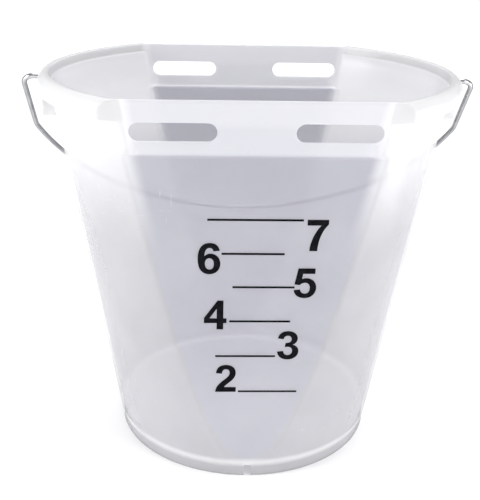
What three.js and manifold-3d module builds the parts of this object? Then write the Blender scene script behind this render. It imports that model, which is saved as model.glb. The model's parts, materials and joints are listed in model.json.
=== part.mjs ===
// Open graduated bucket with two flat sides, four grip slots, a rolled rim on its round ends and a wire bail.
// Millimetres, +Z up. Origin: middle of the base, on the surface the foot ring stands on.
// +X runs towards one bail pivot; the litre scale is on the -Y side.
import * as THREE from 'three';
import { mergeVertices } from 'three/addons/utils/BufferGeometryUtils.js';
import Module from 'manifold-3d';

// Bucket shell
const HEIGHT = 273.4;
const WALL = 2;
const RIM_RADIUS = 139.8; // cone's outer radius at the rim
const BASE_RADIUS = 98.3; // cone's outer radius just above the foot ring
const FOOT_HEIGHT = 10.3;
const FOOT_RADIUS = 97.1; // foot ring's outer radius on the table
const FOOT_TOP_RADIUS = 97.7;
const FOOT_WALL = 2.4;
const FLOOR_UNDERSIDE = 9.4;
const FLOOR_TOP = 11.6;
const FOOT_NOTCH = 5; // width of the drain notch in the foot ring

// Flat sides: half depths of the bucket at four heights
const FLAT_AT_BASE = 97.2;
const FLAT_AT_LEDGE = 107.8;
const PANEL_AT_LEDGE = 110.3;
const PANEL_AT_RIM = 113.3;
const LEDGE_HEIGHT = 237.7;

// Rim flange, on the round ends only
const FLANGE_RADIUS = 146.6;
const FLANGE_SKIRT = 12.5;
// [how far inside FLANGE_RADIUS, how far below the rim's top], from the skirt's edge up
const FLANGE_OUTSIDE = [[0.4, 12.5], [0, 7], [0.6, 4], [2.2, 1.2], [5, 0]];
const FLANGE_INSIDE = [[2.4, 12.5], [2, 7], [4.2, 2.4]];
const RIM_THICKNESS = 2.4;
const LIP_RADIUS = 138.6; // inside edge of the rim
const LIP_HEIGHT = 6;
const LIP_STEP = 1; // height of the step from the lip in to the wall

// Grip slots
const SLOT_INNER_END = 23.4;
const SLOT_OUTER_END = 75.6;
const SLOT_BOTTOM = 248.3;
const SLOT_TOP = 259.6;

// Boxes under the flange that stiffen the bail pivots
const EAR_FACE = 144.8;
const EAR_WIDTH = 30;
const EAR_BOTTOM = 241.4;

// Bail
const PIVOT_HEIGHT = 266;
const WIRE_RADIUS = 1.75;
const PIVOT_HOLE_RADIUS = 2.2;
const BAIL_HALF_WIDTH = 159.4;
const BAIL_DROP = 175; // pivot line to the middle of the grip
const BAIL_ARC_RADIUS = 166;
const BAIL_BEND = 8;
const BAIL_ELBOW = 20; // bend between the straight leg and the long arc
const BAIL_HEAD_RADIUS = 2.9;
const BAIL_HEAD_X = 141;
const BAIL_HEAD_LENGTH = 1.4;
const BAIL_REST_ANGLE = 40; // degrees behind straight down, leaning on the back wall

// Printed litre scale on the -Y flat side
const DIGIT_HEIGHT = 21.3;
const LINE_WEIGHT = 1.4;
const INK_THICKNESS = 0.3;
const INK_GAP = 0.3;
// digitLeft is the digit's left side, and digitDrop how far its foot is below the line
const SCALE_MARKS = [
  { litres: 2, height: 71.9, lineLeft: -8, lineLength: 40, digitLeft: -23.5, digitDrop: 0.4 },
  { litres: 3, height: 99.8, lineLeft: -23.6, lineLength: 40, digitLeft: 17.6, digitDrop: 2.2 },
  { litres: 4, height: 126.3, lineLeft: -14.6, lineLength: 40, digitLeft: -31.2, digitDrop: 6 },
  { litres: 5, height: 151.3, lineLeft: -12.9, lineLength: 40, digitLeft: 26.6, digitDrop: 7.4 },
  { litres: 6, height: 174.8, lineLeft: -20.2, lineLength: 40, digitLeft: -35.2, digitDrop: 14 },
  { litres: 7, height: 197.9, lineLeft: -29.2, lineLength: 60, digitLeft: 33.2, digitDrop: 20.9 },
];

const AROUND = 72; // facets round the bucket
const WIRE_SIDES = 8;
const WIRE_STEPS = 96;
const MARGIN = 5; // how far cutters run past the faces they cut
const FILLET_STEPS = 4;

const wasm = await Module();
wasm.setup();

// ---- solids -------------------------------------------------------------

function toSolid(geometry) {
  const bare = geometry.clone();
  bare.deleteAttribute('normal');
  bare.deleteAttribute('uv');
  const merged = mergeVertices(bare, 1e-4);
  const corners = merged.index.array;
  const triVerts = [];
  for (let i = 0; i < corners.length; i += 3) {
    const [a, b, c] = corners.slice(i, i + 3);
    if (a !== b && b !== c && c !== a) {
      triVerts.push(a, b, c);
    }
  }
  const mesh = new wasm.Mesh({
    numProp: 3,
    vertProperties: new Float32Array(merged.attributes.position.array),
    triVerts: new Uint32Array(triVerts),
  });
  return new wasm.Manifold(mesh);
}

function toGeometry(solid) {
  const mesh = solid.getMesh();
  const geometry = new THREE.BufferGeometry();
  geometry.setAttribute('position', new THREE.BufferAttribute(new Float32Array(mesh.vertProperties), 3));
  geometry.setIndex(new THREE.BufferAttribute(new Uint32Array(mesh.triVerts), 1));
  geometry.computeVertexNormals();
  return geometry;
}

function join(solids) {
  return solids.reduce((sum, solid) => sum.add(solid));
}

// Solid of revolution about Z. The outline is [radius, height] points, anticlockwise.
function revolve(outline) {
  const points = outline.map(([radius, height]) => new THREE.Vector2(radius, height));
  if (outline[0][0] > 0) {
    points.push(points[0].clone());
  }
  return toSolid(new THREE.LatheGeometry(points, AROUND).rotateX(Math.PI / 2));
}

// Prism along X whose side view is symmetric about Y = 0. The outline is [half depth, height] points, going up.
function sideProfile(outline) {
  const half = outline.map(([depth, height]) => new THREE.Vector2(depth, height));
  const mirrored = outline.map(([depth, height]) => new THREE.Vector2(-depth, height)).reverse();
  const length = 2 * (FLANGE_RADIUS + MARGIN);
  const prism = new THREE.ExtrudeGeometry(new THREE.Shape([...half, ...mirrored]), {
    depth: length,
    bevelEnabled: false,
  });
  prism.translate(0, 0, -length / 2).rotateX(Math.PI / 2).rotateZ(Math.PI / 2);
  return toSolid(prism);
}

function block(x0, x1, y0, y1, z0, z1) {
  const box = new THREE.BoxGeometry(x1 - x0, y1 - y0, z1 - z0);
  return toSolid(box.translate((x0 + x1) / 2, (y0 + y1) / 2, (z0 + z1) / 2));
}

// ---- bucket body --------------------------------------------------------

function coneRadius(z) {
  return BASE_RADIUS + ((RIM_RADIUS - BASE_RADIUS) * (z - FOOT_HEIGHT)) / (HEIGHT - FOOT_HEIGHT);
}

function flatDepth(z) {
  return FLAT_AT_BASE + ((FLAT_AT_LEDGE - FLAT_AT_BASE) * z) / LEDGE_HEIGHT;
}

function coneSolid() {
  return revolve([
    [0, 0],
    [FOOT_RADIUS, 0],
    [FOOT_TOP_RADIUS, FOOT_HEIGHT],
    [BASE_RADIUS, FOOT_HEIGHT],
    [RIM_RADIUS, HEIGHT],
    [0, HEIGHT],
  ]);
}

function flangePoints(profile) {
  return profile.map(([inward, below]) => [FLANGE_RADIUS - inward, HEIGHT - below]);
}

// Rounded over at the top, widest at half its height, slightly tucked in at the skirt's edge.
function flangeSolid() {
  const inside = LIP_RADIUS - MARGIN;
  return revolve([[inside, HEIGHT - FLANGE_SKIRT], ...flangePoints(FLANGE_OUTSIDE), [inside, HEIGHT]]);
}

// The space between the skirt and the wall, with a straight way out below the skirt.
function flangeHollow() {
  const inside = LIP_RADIUS - MARGIN;
  const points = flangePoints(FLANGE_INSIDE);
  const bottom = HEIGHT - FLANGE_SKIRT - MARGIN;
  return revolve([[inside, bottom], [points[0][0], bottom], ...points, [inside, HEIGHT - RIM_THICKNESS]]);
}

// Side view of the bucket moved in by an inset; the ledge moves up by half of it, so the wall keeps its thickness.
function sideOutline(inset, bottom, top) {
  const ledge = LEDGE_HEIGHT + inset / 2;
  const step = PANEL_AT_LEDGE - FLAT_AT_LEDGE;
  return sideProfile([
    [flatDepth(bottom) - inset, bottom],
    [FLAT_AT_LEDGE - inset, ledge],
    [PANEL_AT_LEDGE - inset, ledge + step],
    [PANEL_AT_RIM - inset, HEIGHT],
    [PANEL_AT_RIM - inset, top],
  ]);
}

function cavity() {
  const round = revolve([
    [0, FLOOR_TOP],
    [coneRadius(FLOOR_TOP) - WALL, FLOOR_TOP],
    [coneRadius(HEIGHT - LIP_HEIGHT) - WALL, HEIGHT - LIP_HEIGHT],
    [LIP_RADIUS, HEIGHT - LIP_HEIGHT + LIP_STEP],
    [LIP_RADIUS, HEIGHT + MARGIN],
    [0, HEIGHT + MARGIN],
  ]);
  return round.intersect(sideOutline(WALL, 0, HEIGHT + 2 * MARGIN));
}

// Box under the flange, from the cone's wall out to a face at the given distance from the middle.
function earBlock(side, face, width, bottom, top) {
  const inner = coneRadius(EAR_BOTTOM) - MARGIN;
  const x = [side * inner, side * face].sort((a, b) => a - b);
  return block(...x, -width / 2, width / 2, bottom, top);
}

function earSolid(side, top) {
  return earBlock(side, EAR_FACE, EAR_WIDTH, EAR_BOTTOM, top);
}

// The ear is open at the bottom, as its mould needs, and the wire's end turns inside it.
function earPocket(side) {
  const bottom = EAR_BOTTOM - MARGIN;
  return earBlock(side, EAR_FACE - WALL, EAR_WIDTH - 2 * WALL, bottom, HEIGHT - RIM_THICKNESS);
}

// One slot with round ends, cut through the wall on the side that faces -Y or +Y.
function gripSlot(side, hand) {
  const radius = (SLOT_TOP - SLOT_BOTTOM) / 2;
  const left = SLOT_INNER_END + radius;
  const right = SLOT_OUTER_END - radius;
  const shape = new THREE.Shape();
  shape.absarc(right, 0, radius, -Math.PI / 2, Math.PI / 2, false);
  shape.absarc(left, 0, radius, Math.PI / 2, (3 * Math.PI) / 2, false);
  const depth = PANEL_AT_RIM - FLAT_AT_LEDGE + WALL + 2 * MARGIN;
  const cutter = new THREE.ExtrudeGeometry(shape, { depth, bevelEnabled: false, curveSegments: 8 });
  if (hand < 0) {
    cutter.translate(-left - right, 0, 0);
  }
  cutter.rotateX(Math.PI / 2);
  const start = side > 0 ? PANEL_AT_RIM + MARGIN : -(PANEL_AT_RIM + MARGIN) + depth;
  return toSolid(cutter.translate(0, start, (SLOT_BOTTOM + SLOT_TOP) / 2));
}

function footRecess() {
  const recess = new THREE.CylinderGeometry(FOOT_RADIUS - FOOT_WALL, FOOT_RADIUS - FOOT_WALL, 1, AROUND);
  recess.rotateX(Math.PI / 2).scale(1, 1, FLOOR_UNDERSIDE + MARGIN);
  return toSolid(recess.translate(0, 0, (FLOOR_UNDERSIDE - MARGIN) / 2));
}

function footNotch(side) {
  const y = [side * (FOOT_RADIUS - FOOT_WALL - MARGIN), side * (FOOT_RADIUS + MARGIN)].sort((a, b) => a - b);
  return block(-FOOT_NOTCH / 2, FOOT_NOTCH / 2, ...y, -MARGIN, FLOOR_UNDERSIDE);
}

function pivotHole(side) {
  const length = 2 * MARGIN;
  const hole = new THREE.CylinderGeometry(PIVOT_HOLE_RADIUS, PIVOT_HOLE_RADIUS, length, 12);
  return toSolid(hole.rotateZ(Math.PI / 2).translate(side * FLANGE_RADIUS, 0, PIVOT_HEIGHT));
}

function bucketBody() {
  const sides = [-1, 1];
  const cone = coneSolid();
  const ears = sides.map((side) => earSolid(side, HEIGHT - FLANGE_SKIRT / 2));
  const outside = join([cone, flangeSolid(), ...ears]).intersect(sideOutline(0, 0, HEIGHT));
  const earWalls = join(sides.map((side) => earSolid(side, HEIGHT)));
  const underRim = flangeHollow().intersect(sideOutline(WALL, 0, HEIGHT)).subtract(earWalls);
  const hollows = join([underRim, ...sides.map(earPocket)]).subtract(cone);
  const slots = sides.flatMap((side) => sides.map((hand) => gripSlot(side, hand)));
  const cuts = [hollows, cavity(), footRecess(), ...slots, ...sides.map(footNotch), ...sides.map(pivotHole)];
  return toGeometry(outside.subtract(join(cuts)));
}

// ---- bail ---------------------------------------------------------------

// Circular arc in the bail's plane; the angle is measured from straight down towards +X.
class ArcInPlane extends THREE.Curve {
  constructor(cx, cy, radius, from, to) {
    super();
    Object.assign(this, { cx, cy, radius, from, to });
  }

  getPoint(t, target = new THREE.Vector3()) {
    const angle = this.from + (this.to - this.from) * t;
    const x = this.cx + this.radius * Math.sin(angle);
    const y = this.cy + this.radius * Math.cos(angle);
    return target.set(x, 0, -y);
  }
}

// Middle line of the wire in the bail's own plane: x across, y down from the pivot line.
function bailPath() {
  const arcMiddle = BAIL_DROP - BAIL_ARC_RADIUS;
  // The elbow is tangent to the straight leg and, from inside, to the long arc.
  const elbowX = BAIL_HALF_WIDTH - BAIL_ELBOW;
  const elbowY = arcMiddle + Math.sqrt((BAIL_ARC_RADIUS - BAIL_ELBOW) ** 2 - elbowX ** 2);
  const turn = Math.atan2(elbowX, elbowY - arcMiddle);
  const path = new THREE.CurvePath();
  const at = (x, y) => new THREE.Vector3(x, 0, -y);
  const line = (x0, y0, x1, y1) => path.add(new THREE.LineCurve3(at(x0, y0), at(x1, y1)));
  const arc = (cx, cy, radius, from, to) => {
    path.add(new ArcInPlane(cx, cy, radius, from, to));
  };
  const bendX = BAIL_HALF_WIDTH - BAIL_BEND;
  line(-BAIL_HEAD_X, 0, -bendX, 0);
  arc(-bendX, BAIL_BEND, BAIL_BEND, Math.PI, 1.5 * Math.PI);
  line(-BAIL_HALF_WIDTH, BAIL_BEND, -BAIL_HALF_WIDTH, elbowY);
  arc(-elbowX, elbowY, BAIL_ELBOW, -0.5 * Math.PI, -turn);
  arc(0, arcMiddle, BAIL_ARC_RADIUS, -turn, turn);
  arc(elbowX, elbowY, BAIL_ELBOW, turn, 0.5 * Math.PI);
  line(BAIL_HALF_WIDTH, elbowY, BAIL_HALF_WIDTH, BAIL_BEND);
  arc(bendX, BAIL_BEND, BAIL_BEND, 0.5 * Math.PI, Math.PI);
  line(bendX, 0, BAIL_HEAD_X, 0);
  return path;
}

function bailHandle() {
  const section = new THREE.Shape();
  section.absarc(0, 0, WIRE_RADIUS, 0, 2 * Math.PI, false);
  const wire = new THREE.ExtrudeGeometry(section, {
    extrudePath: bailPath(),
    steps: WIRE_STEPS,
    curveSegments: WIRE_SIDES / 2,
    bevelEnabled: false,
  });
  const heads = [-1, 1].map((side) => {
    const head = new THREE.CylinderGeometry(BAIL_HEAD_RADIUS, BAIL_HEAD_RADIUS, BAIL_HEAD_LENGTH, 12);
    return toSolid(head.rotateZ(Math.PI / 2).translate(side * (BAIL_HEAD_X + BAIL_HEAD_LENGTH / 2), 0, 0));
  });
  return toGeometry(join([toSolid(wire), ...heads]));
}

// ---- printed scale ------------------------------------------------------

// Bold digits in hundredths of the digit height. Each contour is a start point and then its segments:
// two numbers are a straight line to a point, six numbers a Bezier curve.
const DIGITS = {
  2: [
    [
      [0, 0], [66, 0], [66, 18], [28.5, 18], [30, 21, 33, 25, 41, 32], [52, 42, 65, 53, 65, 71],
      [65, 88, 53, 100.5, 34, 100.5], [15, 100.5, 4, 90, 2, 70], [21, 68],
      [22, 79, 26, 84.5, 33.5, 84.5], [41, 84.5, 45.5, 80, 45.5, 71], [45.5, 61, 38, 54, 26, 43.5],
      [9, 28.5, 1.5, 17, 0, 0],
    ],
  ],
  3: [
    [
      [0, 27], [2, 9.5, 14, -1.5, 33, -1.5], [53, -1.5, 67, 11.5, 67, 29],
      [67, 40.5, 60, 49, 48, 52], [58, 56.5, 63, 64.5, 63, 74], [63, 89, 51, 100.5, 33, 100.5],
      [15, 100.5, 4, 91, 1, 74.5], [19, 71.5], [20, 79.5, 25, 84, 32, 84],
      [39.5, 84, 44, 79, 44, 71.5], [44, 63, 38, 58.5, 25.5, 58.5], [23.5, 43],
      [27, 44, 30, 44.5, 32.5, 44.5], [41, 44.5, 47, 39, 47, 30], [47, 20.5, 41.5, 14.5, 33, 14.5],
      [25, 14.5, 20, 20, 19, 29.5],
    ],
  ],
  4: [
    [
      [39, 0], [59.5, 0], [59.5, 22], [69.4, 22], [69.4, 38.5], [59.5, 38.5], [59.5, 100],
      [41.5, 100], [0, 39.5], [0, 22], [39, 22],
    ],
    [
      [39, 38.5], [17, 38.5], [39, 71.5],
    ],
  ],
  5: [
    [
      [0, 26], [2, 8.5, 15, -1.5, 34, -1.5], [53, -1.5, 68, 13, 68, 33.5],
      [68, 52.5, 55, 66, 37, 66], [32.5, 66, 28, 64.8, 23.5, 62.5], [26.5, 80.5], [63, 80.5],
      [63, 98.5], [11.5, 98.5], [1.5, 45], [17.5, 42.5], [22, 48, 27.5, 50.5, 33.5, 50.5],
      [43, 50.5, 48.5, 44, 48.5, 33], [48.5, 20.5, 43, 14, 34, 14], [26, 14, 20.5, 19, 19.5, 28],
    ],
  ],
  6: [
    [
      [65.5, 75.5], [63, 91.5, 52, 100.5, 36.5, 100.5], [14, 100.5, 0, 84, 0, 49],
      [0, 14, 13, -1.5, 34.5, -1.5], [53.5, -1.5, 67.5, 12, 67.5, 33],
      [67.5, 52.5, 54.5, 66, 38, 66], [30.5, 66, 24.5, 63, 19.8, 57.5],
      [21, 76, 26, 84.3, 35, 84.3], [41.5, 84.3, 45.5, 80.5, 46.5, 73.5],
    ],
    [
      [21.5, 34], [21.5, 21.5, 27.5, 14, 35, 14], [42.5, 14, 48, 20, 48, 32],
      [48, 44.5, 42.5, 51, 34.5, 51], [27, 51, 21.5, 44, 21.5, 34],
    ],
  ],
  7: [
    [
      [9.5, 0], [33, 0], [34, 40, 48, 71, 63, 85.5], [63, 100], [0, 100], [0, 82], [41, 82],
      [24, 62, 10, 30, 9.5, 0],
    ],
  ],
};

function drawContour(path, [start, ...segments]) {
  const unit = DIGIT_HEIGHT / 100;
  path.moveTo(start[0] * unit, start[1] * unit);
  for (const segment of segments) {
    const numbers = segment.map((value) => value * unit);
    if (numbers.length === 2) {
      path.lineTo(...numbers);
    } else {
      path.bezierCurveTo(...numbers);
    }
  }
  return path;
}

function digitGeometry(litres) {
  const [outline, ...holes] = DIGITS[litres];
  const shape = drawContour(new THREE.Shape(), outline);
  shape.holes = holes.map((hole) => drawContour(new THREE.Path(), hole));
  return new THREE.ExtrudeGeometry(shape, { depth: INK_THICKNESS, bevelEnabled: false, curveSegments: 5 });
}

function lineGeometry(length) {
  return new THREE.BoxGeometry(length, LINE_WEIGHT, INK_THICKNESS).translate(length / 2, 0, INK_THICKNESS / 2);
}

// ---- assembly -----------------------------------------------------------

const polypropylene = new THREE.MeshStandardMaterial({ color: 0xe6e9ee, roughness: 0.38, metalness: 0 });
const steelWire = new THREE.MeshStandardMaterial({ color: 0xb4b7bb, roughness: 0.25, metalness: 1 });
const ink = new THREE.MeshStandardMaterial({ color: 0x17191b, roughness: 0.55, metalness: 0 });

function named(name, geometry, material) {
  const mesh = new THREE.Mesh(geometry, material);
  mesh.name = name;
  return mesh;
}

const bucket = new THREE.Group();
bucket.add(named('bucket_body', bucketBody(), polypropylene));

const bail = named('bail_handle', bailHandle(), steelWire);
bail.position.set(0, 0, PIVOT_HEIGHT);
bail.rotation.x = THREE.MathUtils.degToRad(BAIL_REST_ANGLE);
bucket.add(bail);

// The scale's own plane: its Y climbs the leaning flat side and its Z points out of it.
const draft = Math.atan2(FLAT_AT_LEDGE - FLAT_AT_BASE, LEDGE_HEIGHT);
const scalePlane = new THREE.Group();
scalePlane.position.y = -FLAT_AT_BASE;
scalePlane.rotation.x = Math.PI / 2 + draft;
for (const mark of SCALE_MARKS) {
  const up = mark.height / Math.cos(draft);
  const line = named(`line_${mark.litres}`, lineGeometry(mark.lineLength), ink);
  line.position.set(mark.lineLeft, up, INK_GAP);
  const digit = named(`numeral_${mark.litres}`, digitGeometry(mark.litres), ink);
  digit.position.set(mark.digitLeft, up - mark.digitDrop, INK_GAP);
  scalePlane.add(line, digit);
}
bucket.add(scalePlane);

export default bucket;
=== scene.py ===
"""Looks of an open, graduated bucket: a translucent moulded shell, a printed litre scale and a wire bail."""
import json
import math

import bmesh
import bpy
from mathutils import Matrix, Vector
from mathutils.geometry import tessellate_polygon


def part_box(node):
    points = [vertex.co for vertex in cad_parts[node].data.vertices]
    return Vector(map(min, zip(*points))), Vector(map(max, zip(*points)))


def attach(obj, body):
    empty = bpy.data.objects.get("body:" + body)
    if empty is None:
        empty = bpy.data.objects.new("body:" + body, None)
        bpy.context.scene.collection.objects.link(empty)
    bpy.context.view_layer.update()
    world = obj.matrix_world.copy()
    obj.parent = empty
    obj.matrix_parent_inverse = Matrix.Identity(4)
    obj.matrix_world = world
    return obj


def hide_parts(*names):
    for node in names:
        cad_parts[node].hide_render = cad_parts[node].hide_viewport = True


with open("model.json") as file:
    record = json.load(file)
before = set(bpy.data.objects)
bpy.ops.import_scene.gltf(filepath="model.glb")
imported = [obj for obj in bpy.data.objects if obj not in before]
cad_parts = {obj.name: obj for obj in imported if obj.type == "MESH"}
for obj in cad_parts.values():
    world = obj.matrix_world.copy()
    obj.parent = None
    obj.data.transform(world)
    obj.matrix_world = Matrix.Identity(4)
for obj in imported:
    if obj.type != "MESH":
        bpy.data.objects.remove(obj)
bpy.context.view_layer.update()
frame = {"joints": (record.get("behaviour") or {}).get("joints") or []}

# ---- sizes, in millimetres unless a name says otherwise ------------------------------------------------

MM = 0.001
WALL = 2.0

_, body_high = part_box("bucket_body")
HEIGHT = body_high.z / MM
FLANGE_RADIUS = body_high.x / MM
PANEL_AT_RIM = body_high.y / MM

RIM_RADIUS = 139.8
BASE_RADIUS = 98.3
FOOT_HEIGHT = 10.3
FOOT_RADIUS = 97.1
FOOT_WALL = 2.4
FOOT_NOTCH = 5.0
FLOOR_UNDERSIDE = 9.4
FLOOR_TOP = 11.6
FLAT_AT_BASE = 97.2
FLAT_AT_LEDGE = 107.8
PANEL_AT_LEDGE = 110.3
LEDGE_HEIGHT = 237.7
LEDGE_STEP = PANEL_AT_LEDGE - FLAT_AT_LEDGE
CORNER_ROUND = 9.0  # where a flat side meets the round wall
FLOOR_FILLET = 4.0
FLANGE_CORNER_ROUND = 5.0
LIP_CORNER_ROUND = 7.0
FLANGE_SKIRT = 12.5
RIM_THICKNESS = 2.4
LIP_RADIUS = 138.6
LIP_HEIGHT = 6.0

SLOT_INNER_END = 23.4
SLOT_OUTER_END = 75.6
SLOT_BOTTOM = 248.3
SLOT_TOP = 259.6
SLOT_EDGE_ROUND = 0.7

EAR_FACE = 144.8
EAR_HALF_WIDTH = 15.0
EAR_BOTTOM = 241.4

PIVOT_HEIGHT = frame["joints"][0]["pos_m"][2] / MM
PIVOT_HOLE_RADIUS = 2.2
WIRE_RADIUS = 1.75
BAIL_HALF_WIDTH = 159.4
BAIL_DROP = 175.0
BAIL_ARC_RADIUS = 166.0
BAIL_BEND = 8.0
BAIL_ELBOW = 20.0
BAIL_HEAD_RADIUS = 2.9
BAIL_HEAD_X = 141.0
BAIL_HEAD_LENGTH = 1.4
BAIL_REST_ANGLE = math.radians(40)

INK_LIFT = 0.03
INK_THICKNESS = 0.09
DIGIT_HEIGHT = 21.3
LINE_WEIGHT = 1.4


def cone_radius(z):
    """Outer radius of the round wall at a height."""
    return BASE_RADIUS + (RIM_RADIUS - BASE_RADIUS) * (z - FOOT_HEIGHT) / (HEIGHT - FOOT_HEIGHT)


def flat_depth(z):
    """How far a flat side's outer face is from the middle plane, below the ledge."""
    return FLAT_AT_BASE + (FLAT_AT_LEDGE - FLAT_AT_BASE) * z / LEDGE_HEIGHT


def panel_depth(z):
    """The same for the upright panel above the ledge."""
    start = LEDGE_HEIGHT + LEDGE_STEP
    return PANEL_AT_LEDGE + (PANEL_AT_RIM - PANEL_AT_LEDGE) * (z - start) / (HEIGHT - start)


# ---- mesh helpers --------------------------------------------------------------------------------------


def new_object(name, bm):
    """Makes an object of a bmesh that is in millimetres."""
    bmesh.ops.recalc_face_normals(bm, faces=bm.faces)
    bmesh.ops.scale(bm, vec=(MM, MM, MM), verts=bm.verts)
    mesh = bpy.data.meshes.new(name)
    bm.to_mesh(mesh)
    bm.free()
    piece = bpy.data.objects.new(name, mesh)
    bpy.context.scene.collection.objects.link(piece)
    return piece


def skin(bm, loops, closed_ends=True):
    """Joins loops of the same number of points with quads. The end loops can be closed with fans."""
    rings = [[bm.verts.new(point) for point in loop] for loop in loops]
    for lower, upper in zip(rings, rings[1:]):
        count = len(lower)
        for i in range(count):
            j = (i + 1) % count
            bm.faces.new((lower[i], lower[j], upper[j], upper[i]))
    if closed_ends:
        for ring in (rings[0], rings[-1]):
            middle = sum((v.co for v in ring), Vector()) / len(ring)
            tip = bm.verts.new(middle)
            for i, v in enumerate(ring):
                bm.faces.new((v, ring[(i + 1) % len(ring)], tip))
    return rings


def boolean(piece, other, operation):
    """Cuts or joins another object into the piece, and removes the other object."""
    modifier = piece.modifiers.new("cut", "BOOLEAN")
    modifier.operation = operation
    modifier.solver = "EXACT"
    modifier.object = other
    bpy.context.view_layer.objects.active = piece
    bpy.ops.object.modifier_apply(modifier=modifier.name)
    mesh = other.data
    bpy.data.objects.remove(other)
    bpy.data.meshes.remove(mesh)


# ---- bucket body ---------------------------------------------------------------------------------------

ARC_STEPS = 40
ROUND_STEPS = 8
FLAT_STEPS = 24


def quadrant(radius, depth, corner):
    """A quarter of the bucket's section: round wall, rounded corner, then the flat side up to its middle."""
    reach = radius - corner
    corner_y = depth - corner
    corner_x = math.sqrt(max(reach**2 - corner_y**2, 0.0))
    turn = math.atan2(corner_y, corner_x)
    points = []
    for i in range(ARC_STEPS):
        a = turn * i / ARC_STEPS
        points.append((radius * math.cos(a), radius * math.sin(a)))
    for i in range(ROUND_STEPS):
        a = turn + (math.pi / 2 - turn) * i / ROUND_STEPS
        points.append((corner_x + corner * math.cos(a), corner_y + corner * math.sin(a)))
    for i in range(FLAT_STEPS + 1):
        points.append((corner_x * (1 - i / FLAT_STEPS), depth))
    return points


def mirrored(quarter, z):
    """The whole loop, anticlockwise from +X, of a quarter from +X to +Y."""
    second = [(-x, y) for x, y in reversed(quarter[:-1])]
    half = quarter + second
    other = [(-x, -y) for x, y in half[1:-1]]
    return [Vector((x, y, z)) for x, y in half + other]


def section(radius, depth, corner, z):
    """The bucket's section at a height: two round ends and two flat sides."""
    return mirrored(quadrant(radius, depth, corner), z)


def round_section(radius, z):
    """A circle whose points lie at the same angles as the wall's lowest section."""
    quarter = quadrant(BASE_RADIUS, flat_depth(FOOT_HEIGHT), CORNER_ROUND)
    return mirrored([(radius * x / math.hypot(x, y), radius * y / math.hypot(x, y)) for x, y in quarter], z)


def shrunk(loop, share, z):
    """The loop drawn in towards the axis, at a new height."""
    return [Vector((p.x * share, p.y * share, z)) for p in loop]


def foot_rows():
    """From the middle of the floor's underside, down inside the foot ring, round it and up to the wall."""
    inner = FOOT_RADIUS - FOOT_WALL
    outline = [
        (8, FLOOR_UNDERSIDE), (30, FLOOR_UNDERSIDE), (60, FLOOR_UNDERSIDE), (85, FLOOR_UNDERSIDE),
        (inner - 1.5, FLOOR_UNDERSIDE), (inner - 0.5, FLOOR_UNDERSIDE - 0.3),
        (inner - 0.1, FLOOR_UNDERSIDE - 0.8), (inner, FLOOR_UNDERSIDE - 1.5),
        (inner, 0.6), (inner + 0.15, 0.2), (inner + 0.5, 0),
        (FOOT_RADIUS - 0.7, 0), (FOOT_RADIUS - 0.2, 0.2), (FOOT_RADIUS, 0.7),
        (FOOT_RADIUS + 0.3, FOOT_HEIGHT - 3), (FOOT_RADIUS + 0.35, FOOT_HEIGHT - 1.3),
        (FOOT_RADIUS + 0.5, FOOT_HEIGHT - 0.8),
    ]
    return [round_section(radius, z) for radius, z in outline]


def wall_rows(inset):
    """The wall from the foot to the panels, moved in by an inset, with the ledge on the flat sides."""
    corner = CORNER_ROUND - inset
    rows = []
    start = FOOT_HEIGHT if inset == 0 else FLOOR_TOP + FLOOR_FILLET
    ledge = LEDGE_HEIGHT + inset / 2
    heights = [start, start + 0.6, start + 1.6, start + 4, start + 10]
    while heights[-1] < ledge - 20:
        heights.append(heights[-1] + 9)
    heights += [ledge - 8, ledge - 2, ledge - 0.6]
    for z in heights:
        rows.append(section(cone_radius(z) - inset, flat_depth(z) - inset, corner, z))
    # The ledge: a 45 degree step with a small round at its foot and at its edge.
    for share in (0.1, 0.3, 0.7, 0.9):
        z = ledge + LEDGE_STEP * share
        depth = FLAT_AT_LEDGE + LEDGE_STEP * (share**1.3 / (share**1.3 + (1 - share) ** 1.3)) - inset
        rows.append(section(cone_radius(z) - inset, depth, corner, z))
    panel_foot = ledge + LEDGE_STEP
    for z in (panel_foot + 0.6, panel_foot + 3, panel_foot + 9, HEIGHT - FLANGE_SKIRT - 3):
        rows.append(section(cone_radius(z) - inset, panel_depth(z) - inset, corner, z))
    return rows


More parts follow.
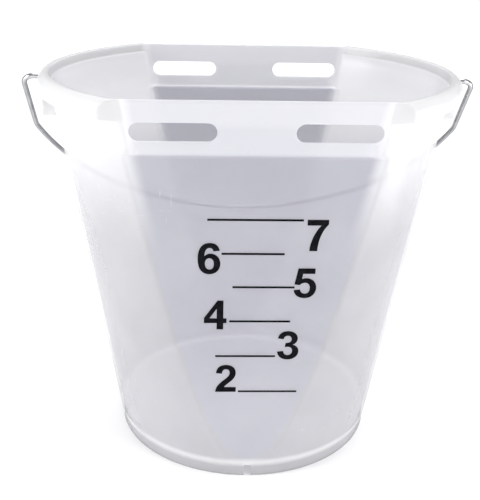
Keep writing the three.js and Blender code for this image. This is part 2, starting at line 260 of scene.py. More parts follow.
def rim_rows():
    """The rolled rim as a solid, from the skirt's underside over the top to the inner lip."""
    under = HEIGHT - FLANGE_SKIRT
    # Each row: radius of the round ends, how far in the flat sides are, corner round, depth below the top.
    outline = [
        (cone_radius(under - 0.4), 0, CORNER_ROUND, FLANGE_SKIRT + 0.4),
        (FLANGE_RADIUS - 0.9, 0, FLANGE_CORNER_ROUND, FLANGE_SKIRT),
        (FLANGE_RADIUS - 0.45, 0, FLANGE_CORNER_ROUND, FLANGE_SKIRT - 0.3),
        (FLANGE_RADIUS - 0.35, 0, FLANGE_CORNER_ROUND, FLANGE_SKIRT - 0.9),
        (FLANGE_RADIUS - 0.1, 0, FLANGE_CORNER_ROUND, 9.2),
        (FLANGE_RADIUS, 0, FLANGE_CORNER_ROUND, 7),
        (FLANGE_RADIUS - 0.15, 0, FLANGE_CORNER_ROUND, 5.4),
        (FLANGE_RADIUS - 0.6, 0, FLANGE_CORNER_ROUND, 4),
        (FLANGE_RADIUS - 1.3, 0, FLANGE_CORNER_ROUND, 2.8),
        (FLANGE_RADIUS - 2.2, 0, FLANGE_CORNER_ROUND, 1.7),
        (FLANGE_RADIUS - 3.2, 0.08, FLANGE_CORNER_ROUND, 0.8),
        (FLANGE_RADIUS - 4.1, 0.3, FLANGE_CORNER_ROUND, 0.25),
        (FLANGE_RADIUS - 5, 0.8, FLANGE_CORNER_ROUND, 0),
        (LIP_RADIUS + 0.9, 1.2, 6, 0),
        (LIP_RADIUS + 0.35, 1.65, 6.5, 0.2),
        (LIP_RADIUS + 0.08, 1.92, LIP_CORNER_ROUND, 0.6),
        (LIP_RADIUS, WALL, LIP_CORNER_ROUND, 1.2),
        (LIP_RADIUS - 0.1, WALL, LIP_CORNER_ROUND, LIP_HEIGHT - 0.6),
        (LIP_RADIUS - 0.35, WALL, LIP_CORNER_ROUND, LIP_HEIGHT - 0.1),
        (cone_radius(HEIGHT - LIP_HEIGHT) - WALL + 0.35, WALL, LIP_CORNER_ROUND, LIP_HEIGHT + 0.5),
        (cone_radius(HEIGHT - LIP_HEIGHT - 1) - WALL + 0.05, WALL, LIP_CORNER_ROUND, LIP_HEIGHT + 1),
    ]
    rows = []
    for radius, inset, corner, below in outline:
        z = HEIGHT - below
        rows.append(section(radius, panel_depth(z) - inset, corner, z))
    return rows


def floor_rows():
    """From the inside wall's foot, round into the floor and in to its middle."""
    foot = FLOOR_TOP + FLOOR_FILLET
    steps = 5
    rows = []
    for step in range(1, steps + 1):
        a = math.pi / 2 * step / steps
        z = FLOOR_TOP + FLOOR_FILLET * (1 - math.sin(a))
        inset = WALL + FLOOR_FILLET * (1 - math.cos(a))
        rows.append(section(cone_radius(foot) - inset, flat_depth(foot) - inset, CORNER_ROUND - WALL, z))
    return rows + [shrunk(rows[-1], share, FLOOR_TOP) for share in (0.95, 0.7, 0.45, 0.2, 0.08)]


def ear_block(side, offset, half_width, face, bottom, top, edge):
    """A block from the round wall, moved out by an offset, to a flat face with rounded upright edges."""
    steps = 16
    corner = [(math.sin(math.pi / 2 * i / 5), math.cos(math.pi / 2 * i / 5)) for i in range(6)]
    loops = []
    for z in (bottom, top):
        loop = []
        for i in range(steps + 1):
            y = half_width * (2 * i / steps - 1)
            loop.append((math.sqrt((cone_radius(z) + offset) ** 2 - y**2), y, z))
        loop += [(face - edge * (1 - s), half_width - edge * (1 - c), z) for s, c in corner]
        loop += [(face - edge * (1 - s), -half_width + edge * (1 - c), z) for s, c in reversed(corner)]
        loops.append([(side * x, y, z) for x, y, z in loop])
    bm = bmesh.new()
    skin(bm, loops)
    return new_object("ear_block", bm)


def rim_hollow(side, start_y, end_y):
    """The space under the rolled rim between two planes across Y."""
    low = HEIGHT - FLANGE_SKIRT - 2
    inside = [cone_radius(z) + 0.15 for z in (low, HEIGHT - RIM_THICKNESS - 0.6)]
    skirt = FLANGE_RADIUS - WALL
    outline = [
        (inside[0], low), (skirt - 0.4, low), (skirt - 0.3, HEIGHT - 11), (skirt, HEIGHT - 7),
        (skirt - 0.5, HEIGHT - 4.6), (skirt - 1.6, HEIGHT - 3.1), (skirt - 3, HEIGHT - RIM_THICKNESS),
        (inside[1] + 0.8, HEIGHT - RIM_THICKNESS), (inside[1], HEIGHT - RIM_THICKNESS - 0.6),
    ]
    steps = max(2, round(abs(end_y - start_y) / 2.5))
    loops = []
    for i in range(steps + 1):
        share = i / steps
        loop = []
        for radius, z in outline:
            first, last = (math.asin(y / radius) for y in (start_y, end_y))
            a = first + (last - first) * share
            loop.append((side * radius * math.cos(a), radius * math.sin(a), z))
        loops.append(loop)
    bm = bmesh.new()
    skin(bm, loops)
    return new_object("rim_hollow", bm)


def stadium(left, right, radius):
    """Outline of a slot with round ends, as (x, height) pairs about its middle height."""
    steps = 12
    points = []
    for centre, start in ((right, -math.pi / 2), (left, math.pi / 2)):
        for i in range(steps + 1):
            a = start + math.pi * i / steps
            points.append((centre + radius * math.cos(a), radius * math.sin(a)))
    return points


def slot_cutter(side, hand):
    """Cuts one grip slot. It flares at both faces of the panel, so the slot's edges come out rounded."""
    middle = (SLOT_BOTTOM + SLOT_TOP) / 2
    radius = (SLOT_TOP - SLOT_BOTTOM) / 2
    left = SLOT_INNER_END + radius
    right = SLOT_OUTER_END - radius
    lean = (PANEL_AT_RIM - PANEL_AT_LEDGE) / (HEIGHT - LEDGE_HEIGHT - LEDGE_STEP)
    # Each station: how far in from the outer face, and how far the outline is widened there.
    stations = [(-3.0, 1.45 * SLOT_EDGE_ROUND), (-0.3, 1.35 * SLOT_EDGE_ROUND)]
    for i in range(1, 7):
        a = math.pi / 2 * i / 6
        stations.append((SLOT_EDGE_ROUND * (1 - math.cos(a)), SLOT_EDGE_ROUND * (1 - math.sin(a))))
    stations += [(WALL - depth, wide) for depth, wide in reversed(stations)]
    loops = []
    for depth, wide in stations:
        loop = []
        for x, up in stadium(left, right, radius + wide):
            z = middle + up
            loop.append((hand * x, side * (panel_depth(middle) + lean * up - depth), z))
        loops.append(loop)
    bm = bmesh.new()
    skin(bm, loops)
    return new_object("slot_cutter", bm)


def notch_cutter(side):
    """Cuts the drain notch through the foot ring, up to the floor."""
    half = FOOT_NOTCH / 2
    outline = [
        (-half - 0.5, -1), (-half - 0.5, 0), (-half - 0.15, 0.15), (-half, 0.5),
        (-half, FLOOR_UNDERSIDE - 0.6), (-half + 0.6, FLOOR_UNDERSIDE),
    ]
    outline += [(-x, z) for x, z in reversed(outline)]
    bm = bmesh.new()
    skin(bm, [[(x, side * y, z) for x, z in outline] for y in (FOOT_RADIUS - 6, FOOT_RADIUS + 0.75)])
    return new_object("notch_cutter", bm)


def hole_cutter(side):
    """Cuts the wire's hole through the ear, with a bevel at its outer edge."""
    bevelled = PIVOT_HOLE_RADIUS + 0.5
    stations = [
        (EAR_FACE - 3, PIVOT_HOLE_RADIUS), (FLANGE_RADIUS - 0.35, PIVOT_HOLE_RADIUS),
        (FLANGE_RADIUS + 0.15, bevelled), (FLANGE_RADIUS + 2, bevelled),
    ]
    sides = 24
    angles = [math.tau * i / sides for i in range(sides)]
    loops = []
    for x, radius in stations:
        loops.append([(side * x, radius * math.cos(a), PIVOT_HEIGHT + radius * math.sin(a)) for a in angles])
    bm = bmesh.new()
    skin(bm, loops)
    return new_object("hole_cutter", bm)


def bucket_shell():
    """The moulded shell: a closed skin for both wall faces, then ears, hollows, holes, notches and slots."""
    bm = bmesh.new()
    outside = foot_rows() + wall_rows(0) + rim_rows()
    inside = list(reversed(wall_rows(WALL))) + floor_rows()
    skin(bm, outside + inside)
    shell = new_object("bucket_shell", bm)
    sides = (-1, 1)
    ear_top = HEIGHT - FLANGE_SKIRT + 1
    for side in sides:
        boolean(shell, ear_block(side, -1, EAR_HALF_WIDTH, EAR_FACE, EAR_BOTTOM, ear_top, 1.5), "UNION")
    pocket_width = EAR_HALF_WIDTH - WALL
    pocket_top = HEIGHT - RIM_THICKNESS
    end = panel_depth(HEIGHT - FLANGE_SKIRT) - WALL
    for side in sides:
        for start_y, end_y in ((-end, -EAR_HALF_WIDTH), (EAR_HALF_WIDTH, end)):
            boolean(shell, rim_hollow(side, start_y, end_y), "DIFFERENCE")
        pocket = ear_block(side, 0.15, pocket_width, EAR_FACE - WALL, EAR_BOTTOM - 1, pocket_top, 0.8)
        boolean(shell, pocket, "DIFFERENCE")
        boolean(shell, hole_cutter(side), "DIFFERENCE")
        boolean(shell, notch_cutter(side), "DIFFERENCE")
        for hand in sides:
            boolean(shell, slot_cutter(side, hand), "DIFFERENCE")
    return shell


# ---- bail ----------------------------------------------------------------------------------------------


def arc_points(cx, cy, radius, start, end, count):
    """Points of an arc in the bail's plane. The angle is measured from straight down towards +X."""
    angles = [start + (end - start) * i / count for i in range(count)]
    return [(cx + radius * math.sin(a), cy + radius * math.cos(a)) for a in angles]


def bail_centreline():
    """The middle of the wire as (across, down from the pivot line), from the -X end to the +X end."""
    arc_middle = BAIL_DROP - BAIL_ARC_RADIUS
    elbow_x = BAIL_HALF_WIDTH - BAIL_ELBOW
    elbow_y = arc_middle + math.sqrt((BAIL_ARC_RADIUS - BAIL_ELBOW) ** 2 - elbow_x**2)
    turn = math.atan2(elbow_x, elbow_y - arc_middle)
    bend_x = BAIL_HALF_WIDTH - BAIL_BEND
    start_x = BAIL_HEAD_X + BAIL_HEAD_LENGTH + 0.3
    half = [(-start_x - (bend_x - start_x) * i / 4, 0) for i in range(4)]
    half += arc_points(-bend_x, BAIL_BEND, BAIL_BEND, math.pi, 1.5 * math.pi, 14)
    half += [(-BAIL_HALF_WIDTH, BAIL_BEND + (elbow_y - BAIL_BEND) * i / 16) for i in range(16)]
    half += arc_points(-elbow_x, elbow_y, BAIL_ELBOW, -math.pi / 2, -turn, 14)
    half += arc_points(0, arc_middle, BAIL_ARC_RADIUS, -turn, 0, 60)
    return half + [(0, BAIL_DROP)] + [(-x, y) for x, y in reversed(half)]


def bail_stations():
    """Along the wire: its middle, the direction across it in the bail's plane, and its radius."""
    # The head's outline: how far from its inner face, and its radius there.
    head = [
        (0, BAIL_HEAD_RADIUS - 0.8), (0.12, BAIL_HEAD_RADIUS - 0.25), (0.4, BAIL_HEAD_RADIUS),
        (BAIL_HEAD_LENGTH - 0.4, BAIL_HEAD_RADIUS), (BAIL_HEAD_LENGTH - 0.12, BAIL_HEAD_RADIUS - 0.25),
        (BAIL_HEAD_LENGTH, BAIL_HEAD_RADIUS - 0.7), (BAIL_HEAD_LENGTH + 0.05, WIRE_RADIUS),
    ]
    middle = bail_centreline()
    stations = [(-BAIL_HEAD_X - out, 0, Vector((0, -1)), radius) for out, radius in head]
    for i, (x, y) in enumerate(middle):
        before = middle[max(i - 1, 0)]
        after = middle[min(i + 1, len(middle) - 1)]
        along = Vector((after[0] - before[0], after[1] - before[1])).normalized()
        stations.append((x, y, Vector((-along.y, along.x)), WIRE_RADIUS))
    stations += [(BAIL_HEAD_X + out, 0, Vector((0, -1)), radius) for out, radius in reversed(head)]
    return stations


def bail_wire():
    """The wire as a swept round bar with an upset head on each end, leaning back at its rest angle."""
    sides = 20
    bm = bmesh.new()
    way = bm.verts.layers.float_vector.new("wire_way")
    loops = []
    for x, y, across, radius in bail_stations():
        loop = []
        for k in range(sides):
            a = math.tau * k / sides
            reach = radius * math.cos(a)
            loop.append((x + reach * across.x, radius * math.sin(a), -(y + reach * across.y)))
        loops.append(loop)
    rings = skin(bm, loops)
    along = 0.0
    for i, ring in enumerate(rings):
        if i:
            along += (ring[0].co - rings[i - 1][0].co).length
        for k, v in enumerate(ring):
            a = math.tau * k / sides
            v[way] = (along * MM, math.cos(a) * WIRE_RADIUS * MM, math.sin(a) * WIRE_RADIUS * MM)
    place = Matrix.Translation((0, 0, PIVOT_HEIGHT)) @ Matrix.Rotation(BAIL_REST_ANGLE, 4, "X")
    bmesh.ops.transform(bm, matrix=place, verts=bm.verts)
    return new_object("bail_wire", bm)


# ---- printed scale -------------------------------------------------------------------------------------

# Bold digits in hundredths of the digit height. Each contour is a start point and then its segments:
# two numbers are a straight line to a point, six numbers a Bezier curve.
DIGITS = {
    2: [
        [
            [0, 0], [66, 0], [66, 18], [28.5, 18], [30, 21, 33, 25, 41, 32], [52, 42, 65, 53, 65, 71],
            [65, 88, 53, 100.5, 34, 100.5], [15, 100.5, 4, 90, 2, 70], [21, 68],
            [22, 79, 26, 84.5, 33.5, 84.5], [41, 84.5, 45.5, 80, 45.5, 71], [45.5, 61, 38, 54, 26, 43.5],
            [9, 28.5, 1.5, 17, 0, 0],
        ],
    ],
    3: [
        [
            [0, 27], [2, 9.5, 14, -1.5, 33, -1.5], [53, -1.5, 67, 11.5, 67, 29],
            [67, 40.5, 60, 49, 48, 52], [58, 56.5, 63, 64.5, 63, 74], [63, 89, 51, 100.5, 33, 100.5],
            [15, 100.5, 4, 91, 1, 74.5], [19, 71.5], [20, 79.5, 25, 84, 32, 84],
            [39.5, 84, 44, 79, 44, 71.5], [44, 63, 38, 58.5, 25.5, 58.5], [23.5, 43],
            [27, 44, 30, 44.5, 32.5, 44.5], [41, 44.5, 47, 39, 47, 30], [47, 20.5, 41.5, 14.5, 33, 14.5],
            [25, 14.5, 20, 20, 19, 29.5],
        ],
    ],
    4: [
        [
            [39, 0], [59.5, 0], [59.5, 22], [69.4, 22], [69.4, 38.5], [59.5, 38.5], [59.5, 100],
            [41.5, 100], [0, 39.5], [0, 22], [39, 22],
        ],
        [
            [39, 38.5], [17, 38.5], [39, 71.5],
        ],
    ],
    5: [
        [
            [0, 26], [2, 8.5, 15, -1.5, 34, -1.5], [53, -1.5, 68, 13, 68, 33.5],
            [68, 52.5, 55, 66, 37, 66], [32.5, 66, 28, 64.8, 23.5, 62.5], [26.5, 80.5], [63, 80.5],
            [63, 98.5], [11.5, 98.5], [1.5, 45], [17.5, 42.5], [22, 48, 27.5, 50.5, 33.5, 50.5],
            [43, 50.5, 48.5, 44, 48.5, 33], [48.5, 20.5, 43, 14, 34, 14], [26, 14, 20.5, 19, 19.5, 28],
        ],
    ],
    6: [
        [
            [65.5, 75.5], [63, 91.5, 52, 100.5, 36.5, 100.5], [14, 100.5, 0, 84, 0, 49],
            [0, 14, 13, -1.5, 34.5, -1.5], [53.5, -1.5, 67.5, 12, 67.5, 33],
            [67.5, 52.5, 54.5, 66, 38, 66], [30.5, 66, 24.5, 63, 19.8, 57.5],
            [21, 76, 26, 84.3, 35, 84.3], [41.5, 84.3, 45.5, 80.5, 46.5, 73.5],
        ],
        [
            [21.5, 34], [21.5, 21.5, 27.5, 14, 35, 14], [42.5, 14, 48, 20, 48, 32],
            [48, 44.5, 42.5, 51, 34.5, 51], [27, 51, 21.5, 44, 21.5, 34],
        ],
    ],
    7: [
        [
            [9.5, 0], [33, 0], [34, 40, 48, 71, 63, 85.5], [63, 100], [0, 100], [0, 82], [41, 82],
            [24, 62, 10, 30, 9.5, 0],
        ],
    ],
}


def contour(start, *segments):
    """A contour as a closed list of (x, y) points, in millimetres."""
    steps = 10
    points = [Vector(start)]
    for segment in segments:
        controls = [points[-1]] + [Vector(segment[i : i + 2]) for i in range(0, len(segment), 2)]
        if len(controls) == 2:
            points.append(controls[1])
            continue
        a, b, c, d = controls
        for i in range(1, steps + 1):
            t = i / steps
            u = 1 - t
            points.append(a * u**3 + b * (3 * u * u * t) + c * (3 * u * t * t) + d * t**3)
    if (points[0] - points[-1]).length < 1e-6:
        points.pop()
    return [p * DIGIT_HEIGHT / 100 for p in points]


def film(name, contours):
    """A thin film of ink on the front flat side. Contours are (x, height), and the first is the outline."""
    bm = bmesh.new()
    flat = [p for points in contours for p in points]
    sheets = []
    for lift in (INK_LIFT, INK_LIFT + INK_THICKNESS):
        sheets.append([bm.verts.new((p.x, -(flat_depth(p.y) + lift), p.y)) for p in flat])
    back, front = sheets
    for a, b, c in tessellate_polygon([[Vector((p.x, p.y, 0)) for p in points] for points in contours]):
        bm.faces.new((front[a], front[b], front[c]))
        bm.faces.new((back[c], back[b], back[a]))
    first = 0
    for points in contours:
        count = len(points)
        for i in range(count):
            j = (i + 1) % count
            bm.faces.new((back[first + i], back[first + j], front[first + j], front[first + i]))
        first += count
    return new_object(name, bm)


def printed_line(litres):
    """The scale's line for a number of litres, as long as the part's own line and at its middle height."""
    low, high = (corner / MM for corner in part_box(f"line_{litres}"))
    middle = (low.z + high.z) / 2
    bottom = middle - LINE_WEIGHT / 2
    top = middle + LINE_WEIGHT / 2
    corners = [(low.x, bottom), (high.x, bottom), (high.x, top), (low.x, top)]
    return film(f"printed_line_{litres}", [[Vector(c) for c in corners]])


def printed_digit(litres):
    """The scale's numeral for a number of litres, set by the lower left corner of the part's own numeral."""
    low, _ = (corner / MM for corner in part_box(f"numeral_{litres}"))
    contours = [contour(*points) for points in DIGITS[litres]]
    shift = Vector((low.x - min(p.x for p in contours[0]), low.z - min(p.y for p in contours[0])))
    return film(f"printed_digit_{litres}", [[p + shift for p in points] for points in contours])


# ---- materials -----------------------------------------------------------------------------------------


class Nodes:
    """A material's node tree, with short calls to add nodes and link them."""

    def __init__(self, name):
        self.material = bpy.data.materials.new(name)
        self.material.use_nodes = True
        self.tree = self.material.node_tree
        self.shader = self.tree.nodes["Principled BSDF"]

    def put(self, socket, value):
        """Links another node's output to a socket, or sets the socket to a plain value."""
        if isinstance(value, bpy.types.NodeSocket):
            self.tree.links.new(value, socket)
        else:
            socket.default_value = value

    def add(self, kind, settings=None, **inputs):
        """Adds a node. Each input is named as in Blender, with underscores for the spaces."""
        node = self.tree.nodes.new(kind)
        for key, value in (settings or {}).items():
            setattr(node, key, value)
        for key, value in inputs.items():
            self.put(node.inputs[key.replace("_", " ")], value)
        return node

    def shade(self, **inputs):
        """Sets or links the inputs of the Principled shader."""
        for key, value in inputs.items():
            self.put(self.shader.inputs[key.replace("_", " ")], value)

    def scaled(self, vector, scale):
        node = self.add("ShaderNodeVectorMath", {"operation": "MULTIPLY"})
        self.put(node.inputs[0], vector)
        node.inputs[1].default_value = scale
        return node.outputs["Vector"]

    def noise(self, vector, scale, detail, distortion=0.0):
        pattern = {"Scale": scale, "Detail": detail, "Distortion": distortion}
        return self.add("ShaderNodeTexNoise", Vector=vector, **pattern).outputs["Fac"]

    def streaks(self, vector, scales, detail, distortion=0.0):
        """Noise that is stretched along the axes with the smaller scales."""
        return self.noise(self.scaled(vector, scales), 1, detail, distortion)

    def ramp(self, value, start, end):
        """A smooth rise from 0 at the start value to 1 at the end value, which may be the smaller one."""
        limits = {"From_Min": start, "From_Max": end}
        node = self.add("ShaderNodeMapRange", {"interpolation_type": "SMOOTHSTEP"}, Value=value, **limits)
        return node.outputs["Result"]

    def math(self, operation, *values):
        node = self.add("ShaderNodeMath", {"operation": operation})
        for socket, value in zip(node.inputs, values):
            self.put(socket, value)
        return node.outputs["Value"]

    def minus(self, a, b):
        return self.math("SUBTRACT", a, b)

    def times(self, a, b):
        return self.math("MULTIPLY", a, b)

    def times_plus(self, a, b, c):
        return self.math("MULTIPLY_ADD", a, b, c)

    def largest(self, *values):
        result = values[0]
        for value in values[1:]:
            result = self.math("MAXIMUM", result, value)
        return result

    def absolute(self, value):
        return self.math("ABSOLUTE", value)

    def mix(self, share, a, b):
        node = self.add("ShaderNodeMix", {"data_type": "RGBA"})
        self.put(node.inputs["Factor"], share)
        self.put(node.inputs["A"], a)
        self.put(node.inputs["B"], b)
        return node.outputs["Result"]

    def bump(self, height, distance, strength, normal=None):
        node = self.add("ShaderNodeBump", Height=height, Distance=distance, Strength=strength)
        if normal is not None:
            self.put(node.inputs["Normal"], normal)
        return node.outputs["Normal"]


# Where each change in a material starts and where it is complete, in metres.
FLAT_BAND_HEIGHTS = ((LEDGE_HEIGHT - 1) * MM, (LEDGE_HEIGHT + 4) * MM)
ROUND_LIGHT_HEIGHTS = (0.165, 0.25)
RIM_HEIGHTS = (0.235, 0.262)
FOOT_RING_HEIGHTS = (0.007, 0.010)
FLOOR_CORNER_HEIGHTS = (0.016, 0.0115)
INNER_FACE = (-0.0005, -0.0015)  # outwards from the outer face, so less than 0 is inside the wall
FLAT_SIDE = (-0.0015, -0.006)  # outwards from the round wall's outer face
FRONT_TO_BACK = (-0.02, 0.02)  # along Y
SLOT_EDGE = (0.0016, 0.0006)  # outwards from the slot's outline
MIDDLE_HIGHLIGHT = (0.115, 0.085)  # along X, either way from the middle of the wire

# How much of each change shows, from 0 to 1.
# The band and inner shares set painted light, the rim's share thickness and painted light, and the slots'
# edge share a painted highlight. The foot ring share keeps the foot ring in painted shade, and the front
# share sets how much painted shade the front inner flat gets.
FLAT_BAND_SHARE = 0.52
ROUND_LIGHT_SHARE = 0.6
INNER_LIGHT_EXTRA = 0.3
RIM_SHARE = 0.6
FOOT_RING_SHARE = 0.15
SLOT_HIGHLIGHT_SHARE = 0.5
FRONT_SHADE_SHARE = 0.15

# How much of what is behind one face of the wall that face covers.
WALL_COVER = 0.49
CORNER_EXTRA_COVER = 0.04
DENSE_EXTRA_COVER = 0.35


def shell_masks(m, place):
    """Numbers from 0 to 1 for each place on the shell: the inner faces, the floor's corner, where it is
    whiter from thickness and painted light, where it is less clear, and where the inner flats are painted
    dark as shade.
    """
    spread = m.add("ShaderNodeSeparateXYZ", Vector=place).outputs
    across, depth, height = spread["X"], spread["Y"], spread["Z"]
    from_axis = m.add("ShaderNodeVectorMath", {"operation": "LENGTH"}, Vector=m.scaled(place, (1, 1, 0)))
    cone_slope = (RIM_RADIUS - BASE_RADIUS) / (HEIGHT - FOOT_HEIGHT)
    past_cone = m.times_plus(height, -cone_slope, m.minus(from_axis.outputs["Value"], cone_radius(0) * MM))
    flat_slope = (flat_depth(HEIGHT) - flat_depth(0)) / HEIGHT
    past_flat = m.times_plus(height, -flat_slope, m.minus(m.absolute(depth), flat_depth(0) * MM))
    inside = m.ramp(past_cone, *INNER_FACE)
    flat = m.ramp(past_cone, *FLAT_SIDE)

    # A painted highlight on the rounded edges of the grip slots, by distance from the line that joins the
    # centres of a slot's ends.
    slot_radius = (SLOT_TOP - SLOT_BOTTOM) / 2 * MM
    slot_reach = (SLOT_OUTER_END - SLOT_INNER_END) / 2 * MM - slot_radius
    from_middle = m.absolute(m.minus(m.absolute(across), (SLOT_INNER_END + SLOT_OUTER_END) / 2 * MM))
    past_end = m.largest(m.minus(from_middle, slot_reach), 0.0)
    above = m.minus(height, (SLOT_BOTTOM + SLOT_TOP) / 2 * MM)
    from_slot = m.math("SQRT", m.math("ADD", m.times(past_end, past_end), m.times(above, above)))
    slot_edge_highlight = m.times(m.ramp(from_slot, *(slot_radius + past for past in SLOT_EDGE)), SLOT_HIGHLIGHT_SHARE)

    # Painted light: the flat sides above the ledge and the round walls towards the top are whiter, as if lit
    # from above and from the sides, and the round walls more so on their inner faces.
    flat_band = m.times(m.ramp(height, *FLAT_BAND_HEIGHTS), FLAT_BAND_SHARE)
    round_light_share = m.times_plus(inside, INNER_LIGHT_EXTRA, ROUND_LIGHT_SHARE)
    round_painted_light = m.times(m.ramp(height, *ROUND_LIGHT_HEIGHTS), round_light_share)
    upper_painted_light = m.times_plus(flat, m.minus(flat_band, round_painted_light), round_painted_light)
    # The rim and the wall just under it are whiter, partly as the rim is doubled and partly as painted light
    # from above.
    rim = m.times(m.ramp(height, *RIM_HEIGHTS), RIM_SHARE)
    # The floor's corner is whiter, partly as it is thick and partly as a painted highlight along the foot's
    # top edge; the foot ring gets only a little of it, so it stays darker as painted shade.
    corner_share = m.times_plus(m.ramp(height, *FOOT_RING_HEIGHTS), 1 - FOOT_RING_SHARE, FOOT_RING_SHARE)
    corner = m.times(m.ramp(height, *FLOOR_CORNER_HEIGHTS), corner_share)
    # Painted shade: the inner faces of the flat sides are darkened, the back one the most.
    shade_toward_back = m.times_plus(m.ramp(depth, *FRONT_TO_BACK), 1 - FRONT_SHADE_SHARE, FRONT_SHADE_SHARE)
    return {
        "inside": inside,
        "corner": corner,
        "thick_and_lit": m.largest(upper_painted_light, rim, corner, slot_edge_highlight),
        "dense": m.largest(m.times(flat, flat_band), rim, slot_edge_highlight),
        "shaded_inner_flat": m.times(m.times(flat, shade_toward_back), m.ramp(past_flat, *INNER_FACE)),
    }


def translucent_plastic():
    """Natural polypropylene: milky, translucent, satin, faintly clouded, streaked and scuffed.

    Some places are painted whiter, and some less clear, than the single wall. Above the ledge and on the
    upper round walls, more so on their inner faces, the whiteness is painted light from above and the sides.
    The rim is whiter as it is doubled, and partly from painted light. Around the slots the whiteness is a
    painted highlight. The floor's corner is whiter as it is thick, and partly from a painted highlight along
    the foot's top edge; only a little of it shows on the foot ring, which stays darker as painted shade. The
    inner faces of the flat sides are painted dark as shade, above all the back one.
    """
    m = Nodes("natural_polypropylene")
    place = m.add("ShaderNodeTexCoord").outputs["Object"]
    cloud = m.noise(place, 22, detail=3)
    flow = m.streaks(place, (150, 150, 11), detail=2)
    grain = m.noise(place, 1500, detail=2)
    rubbed = m.ramp(m.noise(place, 9, detail=2), 0.5, 0.66)
    upright = m.ramp(m.streaks(place, (1300, 1300, 40), detail=1, distortion=0.5), 0.74, 0.8)
    level = m.ramp(m.streaks(place, (45, 45, 1600), detail=1, distortion=0.8), 0.75, 0.81)
    specks = m.ramp(m.noise(place, 520, detail=0), 0.86, 0.90)
    scuffs = m.times(m.largest(upright, level), rubbed)
    masks = shell_masks(m, place)
    inside = masks["inside"]
    # These three colours are given for the outer faces and then for the inner ones, which are bluer.
    deep = m.mix(inside, (0.458, 0.458, 0.468, 1), (0.455, 0.455, 0.51, 1))
    pale = m.mix(inside, (0.488, 0.488, 0.498, 1), (0.485, 0.485, 0.535, 1))
    white = m.mix(inside, (0.87, 0.87, 0.87, 1), (0.87, 0.87, 0.895, 1))
    colour = m.mix(m.ramp(cloud, 0.3, 0.7), deep, pale)
    # Painted shade on the inner faces of the flat sides.
    colour = m.mix(masks["shaded_inner_flat"], colour, (0.15, 0.15, 0.235, 1))
    # Whiter from thickness, and from painted light and highlights.
    colour = m.mix(masks["thick_and_lit"], colour, white)
    colour = m.mix(m.times(scuffs, 0.3), colour, (0.85, 0.85, 0.86, 1))
    colour = m.mix(m.times(specks, 0.25), colour, (0.45, 0.44, 0.42, 1))
    roughness = m.times_plus(scuffs, 0.15, m.times_plus(cloud, 0.10, 0.18))
    normal = m.bump(grain, 0.000004, 0.3)
    normal = m.bump(flow, 0.00010, 0.3, normal)
    normal = m.bump(scuffs, 0.00001, 0.4, normal)
    cover = m.times_plus(masks["corner"], CORNER_EXTRA_COVER, WALL_COVER)
    alpha = m.times_plus(masks["dense"], DENSE_EXTRA_COVER, cover)
    m.shade(Base_Color=colour, Roughness=roughness, Normal=normal, IOR=1.49, Alpha=alpha)
    return m.material


def drawn_steel():
    """Galvanised wire: lines drawn along it, an uneven coat, dark nicks, and a painted highlight that makes
    its middle brighter.
    """
    m = Nodes("drawn_steel_wire")
    way = m.add("ShaderNodeAttribute", {"attribute_name": "wire_way"}).outputs["Vector"]
    lines = m.streaks(way, (25, 2600, 2600), detail=2)
    coat = m.noise(way, 120, detail=3)
    nicks = m.ramp(m.streaks(way, (420, 1500, 1500), detail=1, distortion=0.6), 0.78, 0.84)
    place = m.add("ShaderNodeTexCoord").outputs["Object"]
    off_middle = m.absolute(m.add("ShaderNodeSeparateXYZ", Vector=place).outputs["X"])
    colour = m.mix(m.ramp(coat, 0.3, 0.7), (0.42, 0.425, 0.435, 1), (0.50, 0.505, 0.515, 1))
    # A painted highlight: the middle of the wire is lighter.
    colour = m.mix(m.ramp(off_middle, *MIDDLE_HIGHLIGHT), colour, (0.66, 0.66, 0.67, 1))
    colour = m.mix(m.times(nicks, 0.4), colour, (0.2, 0.2, 0.21, 1))
    roughness = m.times_plus(lines, 0.06, m.times_plus(coat, 0.10, 0.10))
    normal = m.bump(lines, 0.000004, 0.3)
    normal = m.bump(nicks, 0.000008, 0.3, normal)
    m.shade(Base_Color=colour, Roughness=roughness, Normal=normal)
    # The black tint darkens the wire towards its edges.
    m.shade(Metallic=1.0, Specular_Tint=(0.0, 0.0, 0.0, 1))
    return m.material


def printing_ink():
    """Black pad-printed ink, a little uneven in thickness, with a few pinholes."""
    m = Nodes("printing_ink")
    place = m.add("ShaderNodeTexCoord").outputs["Object"]
    body = m.noise(place, 240, detail=4)
    pores = m.ramp(m.noise(place, 2600, detail=1), 0.74, 0.80)
    colour = m.mix(m.ramp(body, 0.3, 0.7), (0.002, 0.002, 0.003, 1), (0.006, 0.007, 0.009, 1))
    colour = m.mix(m.times(pores, 0.5), colour, (0.10, 0.105, 0.115, 1))
    roughness = m.times_plus(body, 0.25, 0.45)
    normal = m.bump(body, 0.00004, 0.4)
    normal = m.bump(pores, 0.00005, 0.5, normal)
    m.shade(Base_Color=colour, Roughness=roughness, Normal=normal, IOR=1.5, Specular_IOR_Level=0.05)
    return m.material


def pale_floor_material():
    """Plain, matt and nearly white."""
    m = Nodes("pale_floor")
    place = m.add("ShaderNodeTexCoord").outputs["Object"]
    tone = m.noise(place, 3, detail=2)
    colour = m.mix(tone, (0.84, 0.84, 0.845, 1), (0.86, 0.86, 0.865, 1))
    m.shade(Base_Color=colour, Roughness=0.7, Specular_IOR_Level=0.2)
    return m.material


# ---- the object ----------------------------------------------------------------------------------------


def finish_piece(piece, body, node, material, crease=None):
    """Shades a piece, hangs it on the body that it rides on, and hides the part that it stands in for."""
    piece.data.materials.append(material)
    if crease is not None:
        piece.data.set_sharp_from_angle(angle=math.radians(crease))
    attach(piece, body)
    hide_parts(node)


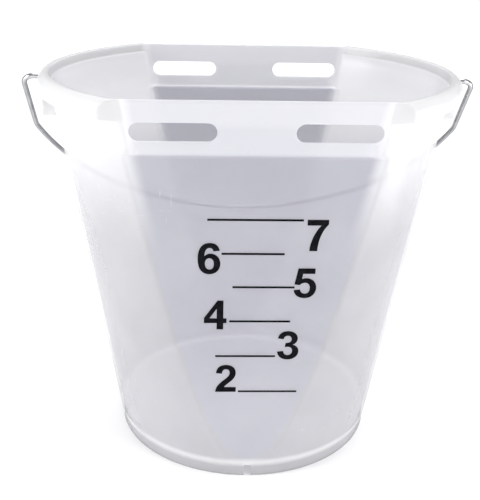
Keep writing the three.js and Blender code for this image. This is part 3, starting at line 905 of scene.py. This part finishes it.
ink = printing_ink()
finish_piece(bucket_shell(), "bucket", "bucket_body", translucent_plastic(), crease=38)
finish_piece(bail_wire(), "bail", "bail_handle", drawn_steel(), crease=50)
for litres in DIGITS:
    finish_piece(printed_line(litres), "bucket", f"line_{litres}", ink)
    finish_piece(printed_digit(litres), "bucket", f"numeral_{litres}", ink)

# ---- floor, light and camera ---------------------------------------------------------------------------


def floor():
    """A wide disc whose middle part is one face."""
    middle_radius, edge_radius = 400, 9000
    sides = 64
    angles = [math.tau * i / sides for i in range(sides)]
    bm = bmesh.new()
    loops = [[(r * math.cos(a), r * math.sin(a), 0) for a in angles] for r in (middle_radius, edge_radius)]
    rings = skin(bm, loops, closed_ends=False)
    bmesh.ops.contextual_create(bm, geom=rings[0])
    piece = new_object("floor", bm)
    piece.data.materials.append(pale_floor_material())


def softbox(name, place, target, width, height, power):
    """A rectangular lamp, in metres and watts, turned towards its target and unseen by the camera."""
    light = bpy.data.lights.new(name, "AREA")
    light.shape = "RECTANGLE"
    light.size = width
    light.size_y = height
    light.energy = power
    lamp = bpy.data.objects.new(name, light)
    lamp.location = place
    lamp.rotation_euler = (Vector(target) - Vector(place)).to_track_quat("-Z", "Y").to_euler()
    lamp.visible_camera = False
    bpy.context.scene.collection.objects.link(lamp)


def overhead_light():
    """A broad, even light from above, as through a ceiling diffuser."""
    light = bpy.data.lights.new("overhead", "SUN")
    light.energy = 2.9
    light.angle = math.radians(50)
    lamp = bpy.data.objects.new("overhead", light)
    lamp.rotation_euler = (math.radians(-10), math.radians(4), 0)
    bpy.context.scene.collection.objects.link(lamp)


def studio_world():
    """A dim room: darkest at the horizon in front and at the sides, brighter behind, brightest overhead."""
    brightest_way = (0, 0.2, 0.98)
    darkest, brightest = 0.30, 0.45
    world = bpy.data.worlds.new("studio")
    world.use_nodes = True
    tree = world.node_tree
    background = tree.nodes["Background"]
    direction = tree.nodes.new("ShaderNodeTexCoord").outputs["Generated"]
    lean = tree.nodes.new("ShaderNodeVectorMath")
    lean.operation = "DOT_PRODUCT"
    lean.inputs[1].default_value = brightest_way
    tree.links.new(direction, lean.inputs[0])
    lift = tree.nodes.new("ShaderNodeMapRange")
    for key, number in (("From Min", 0.0), ("From Max", 0.9), ("To Min", darkest), ("To Max", brightest)):
        lift.inputs[key].default_value = number
    tree.links.new(lean.outputs["Value"], lift.inputs["Value"])
    tree.links.new(lift.outputs["Result"], background.inputs["Strength"])
    background.inputs["Color"].default_value = (0.97, 0.97, 1, 1)
    bpy.context.scene.world = world


def camera():
    """Looks down a little on the bucket's front, with a slight roll and shift."""
    data = bpy.data.cameras.new("camera")
    data.lens = 60.33
    data.sensor_width = 36
    data.shift_x = -0.0033
    data.shift_y = 0.0123
    data.clip_start = 0.01
    piece = bpy.data.objects.new("camera", data)
    piece.location = (-0.02658, -0.59474, 0.37275)
    look = Vector((0.0362, 0.9255, -0.3770)).to_track_quat("-Z", "Y")
    roll = 0.0201
    piece.rotation_euler = (look.to_matrix() @ Matrix.Rotation(roll, 3, "Z")).to_euler()
    bpy.context.scene.collection.objects.link(piece)
    bpy.context.scene.camera = piece


floor()
overhead_light()
softbox("left_softbox", (-1.0, -0.25, 0.45), (0, 0, 0.3), 0.6, 0.8, 9)
softbox("right_softbox", (0.85, -0.65, 0.45), (0, 0, 0.3), 0.4, 0.8, 6)
softbox("low_softbox", (0.42, -0.05, 0.15), (0.09, -0.08, 0.17), 0.13, 0.26, 0.3)
softbox("front_softbox", (-0.4, -1.7, 0.30), (0, 0, 0.2), 1.3, 0.5, 3)
studio_world()
camera()
bpy.context.scene.view_settings.view_transform = "Standard"
